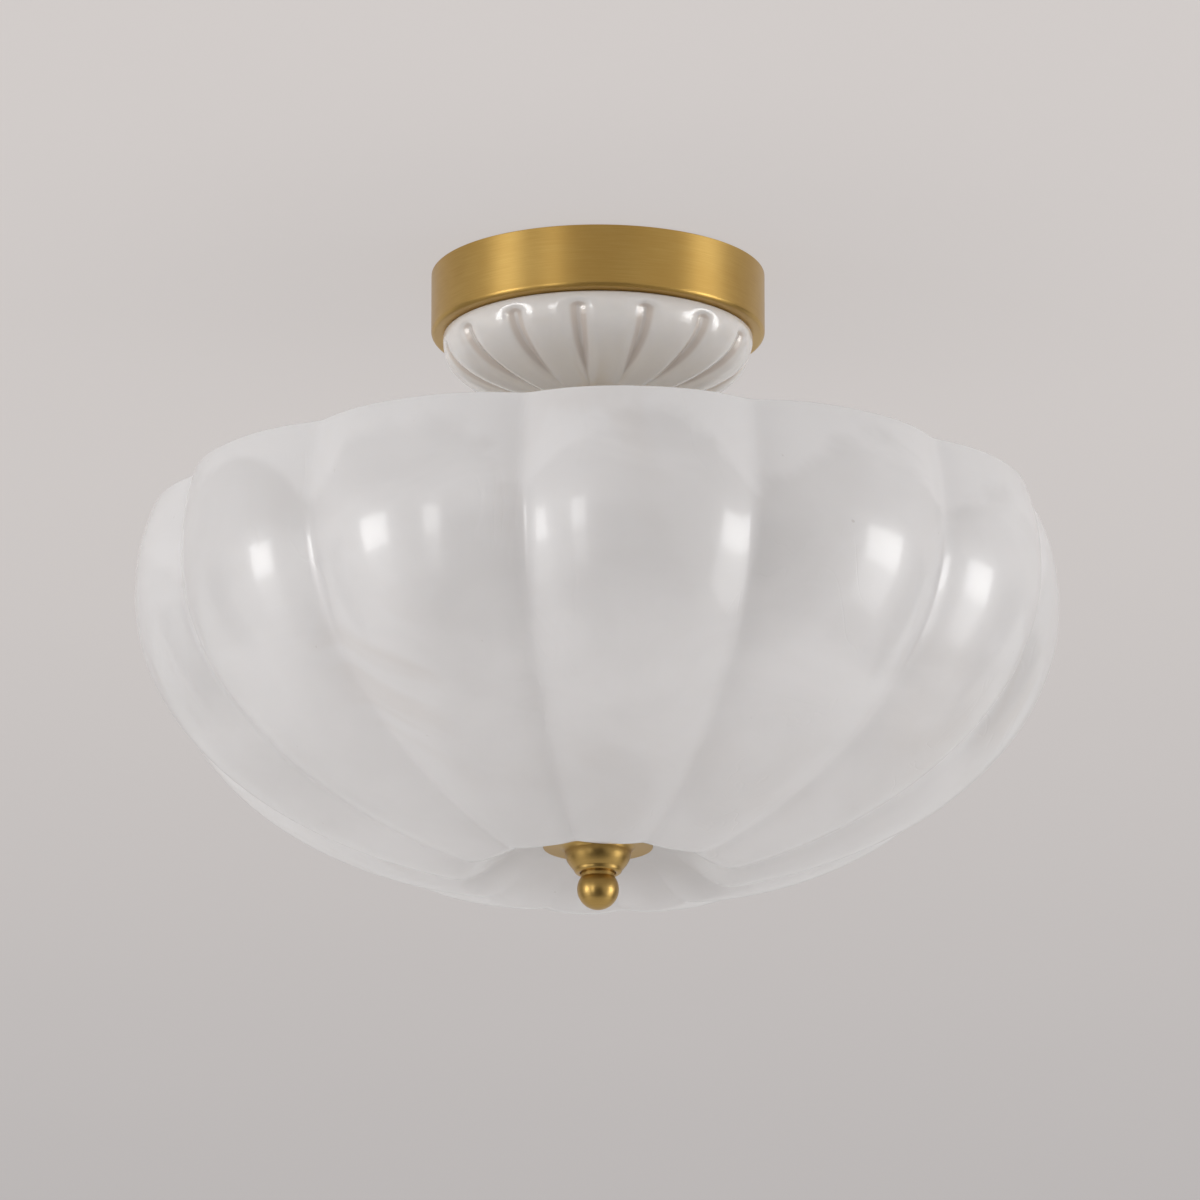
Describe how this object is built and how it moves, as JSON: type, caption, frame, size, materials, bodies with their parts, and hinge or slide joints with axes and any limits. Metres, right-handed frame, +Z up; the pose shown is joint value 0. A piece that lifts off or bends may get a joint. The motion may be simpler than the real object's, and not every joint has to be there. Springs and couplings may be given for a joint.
{
  "type": "semi-flush ceiling light",
  "caption": "Semi-flush ceiling light: brass canopy, small fluted glass dome, and a large lobed cloudy-white glass bowl held on a central rod by a brass cup and ball nut.",
  "frame": {"origin": "centre of the ceiling plane, where the crossbar's top face meets the lamp's vertical centre line", "axes": "+Z up into the ceiling, X along the crossbar, -Y the side that the picture shows"},
  "size_m": [0.399, 0.399, 0.2846],
  "materials": {
    "satin_brass": "satin brushed",
    "stem_brass": "plain",
    "marbled_glass": "cloudy white, glossy",
    "fluted_glass": "cloudy clear, glossy",
    "zinc_steel": "zinc plated",
    "painted_hub": "white enamel",
    "screw_steel": "yellow zinc plated",
    "white_nylon": "matt",
    "holder_plastic": "matt",
    "nickel": "nickel plated",
    "opal_globe": "opal",
    "bulb_plastic": "semi-gloss",
    "dark_insulator": "gloss",
    "source_white": "matt",
    "grey_felt": "felt",
    "clear_rubber": "translucent",
    "lead_sleeve": "silicone sleeve"
  },
  "bodies": {
    "root": {"crossbar": "zinc_steel", "stem_tube": "stem_brass", "stem_nuts": "zinc_steel", "toothed_washers": "zinc_steel", "terminal_block": "white_nylon", "terminal_busbars": "stem_brass", "terminal_block_screws": "screw_steel", "earth_screw": "screw_steel", "earth_washer": "zinc_steel", "hub_cup": "painted_hub", "hub_cover": "painted_hub", "stem_coupler": "stem_brass", "lower_rod": "zinc_steel", "stop_nut": "zinc_steel", "stop_washer": "zinc_steel", "holder_nipples": "stem_brass", "nipple_nuts": "zinc_steel", "holder_spacers": "stem_brass", "holder_terminals": "stem_brass", "lamp_leads": "lead_sleeve", "holder_body_1": "holder_plastic", "holder_shell_1": "nickel", "holder_contact_1": "nickel", "holder_body_2": "holder_plastic", "holder_shell_2": "nickel", "holder_contact_2": "nickel", "holder_body_3": "holder_plastic", "holder_shell_3": "nickel", "holder_contact_3": "nickel"},
    "canopy_set": {"canopy": "satin_brass", "canopy_gasket": "grey_felt", "dome_glass": "fluted_glass", "dome_washer": "clear_rubber", "slip_collar": "satin_brass", "collar_screw": "zinc_steel"},
    "bowl_set": {"bowl_glass": "marbled_glass", "bowl_gasket": "clear_rubber", "cup_gasket": "clear_rubber", "finial_cup": "satin_brass"},
    "ball_nut": {"finial_ball": "satin_brass"},
    "bulb_1": {"bulb_globe_1": "opal_globe", "bulb_collar_1": "bulb_plastic", "bulb_cap_1": "nickel", "bulb_insulator_1": "dark_insulator", "bulb_contact_1": "nickel", "bulb_source_1": "source_white"},
    "bulb_2": {"bulb_globe_2": "opal_globe", "bulb_collar_2": "bulb_plastic", "bulb_cap_2": "nickel", "bulb_insulator_2": "dark_insulator", "bulb_contact_2": "nickel", "bulb_source_2": "source_white"},
    "bulb_3": {"bulb_globe_3": "opal_globe", "bulb_collar_3": "bulb_plastic", "bulb_cap_3": "nickel", "bulb_insulator_3": "dark_insulator", "bulb_contact_3": "nickel", "bulb_source_3": "source_white"}
  },
  "joints": [
    {"name": "canopy_drop", "type": "slide", "parent": "root", "child": "canopy_set", "axis": [0, 0, -1], "range_m": [0, 0.05]},
    {"name": "bowl_drop", "type": "slide", "parent": "root", "child": "bowl_set", "axis": [0, 0, -1], "range_m": [0, 0.18]},
    {"name": "ball_nut_turn", "type": "hinge", "parent": "bowl_set", "child": "ball_nut", "pos_m": [0, 0, -0.2756], "axis": [0, 0, 1], "continuous": true},
    {"name": "bulb_1_out", "type": "slide", "parent": "root", "child": "bulb_1", "axis": [0, 1, 0], "range_m": [0, 0.028]},
    {"name": "bulb_2_out", "type": "slide", "parent": "root", "child": "bulb_2", "axis": [-0.866, -0.5, 0], "range_m": [0, 0.028]},
    {"name": "bulb_3_out", "type": "slide", "parent": "root", "child": "bulb_3", "axis": [0.866, -0.5, 0], "range_m": [0, 0.028]}
  ]
}
